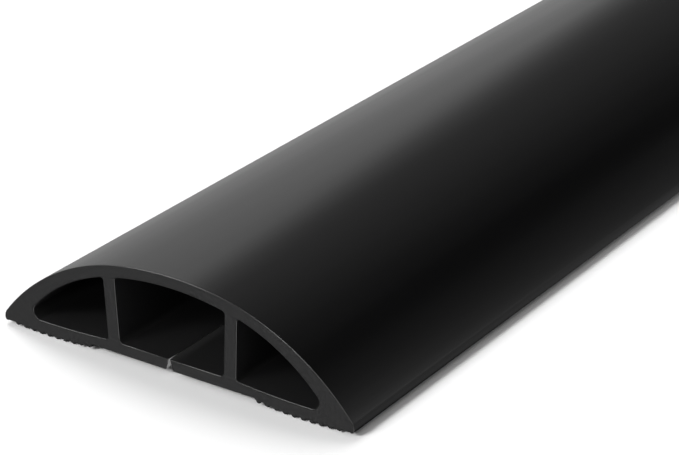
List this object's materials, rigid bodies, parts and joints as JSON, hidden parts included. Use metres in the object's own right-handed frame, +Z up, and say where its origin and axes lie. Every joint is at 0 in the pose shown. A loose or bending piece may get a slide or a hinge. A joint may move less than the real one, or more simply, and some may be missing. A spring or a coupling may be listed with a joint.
{
  "type": "floor cord cover",
  "caption": "Low domed rubber floor cover strip with cable channels, a slit along the flat base and ribbed gripping pads underneath.",
  "frame": {"origin": "on the floor, under the middle of the strip's length and width", "axes": "+Y along the strip, +Z up from the floor to the crown, +X across"},
  "size_m": [0.076, 1, 0.0194],
  "materials": {
    "black_rubber": "satin black, with a duller cut face at each end"
  },
  "bodies": {
    "root": {"cord_cover": "black_rubber"}
  },
  "joints": []
}
